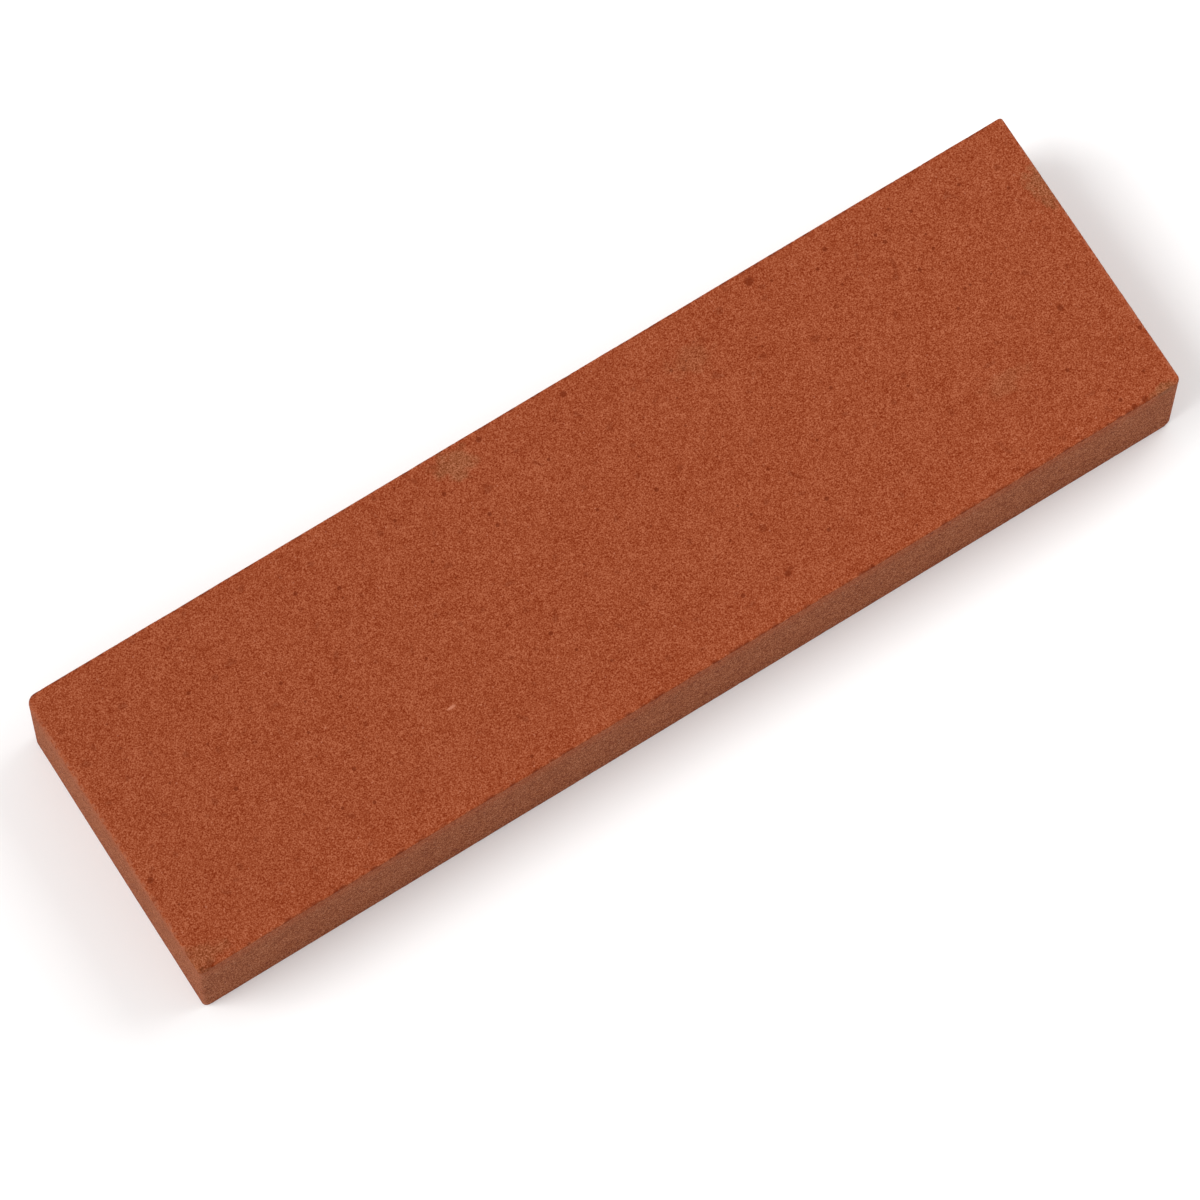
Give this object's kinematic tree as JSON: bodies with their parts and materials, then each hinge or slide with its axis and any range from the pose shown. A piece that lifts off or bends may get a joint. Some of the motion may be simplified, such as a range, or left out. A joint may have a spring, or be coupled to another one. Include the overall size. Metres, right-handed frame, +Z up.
{
  "type": "abrasive bench bar",
  "caption": "Small rectangular bar of fired, bonded abrasive with sharp edges and a sandy surface, rubbed by hand or in a holder.",
  "frame": {"origin": "middle of the underside, on the surface that the bar lies on", "axes": "+X along the bar, +Y across its width towards the back long side, +Z up through its thickness"},
  "size_m": [0.0786, 0.0226, 0.0092],
  "materials": {
    "fired_abrasive": "matt, sandy, terracotta"
  },
  "bodies": {
    "root": {"abrasive_bar": "fired_abrasive"}
  },
  "joints": []
}
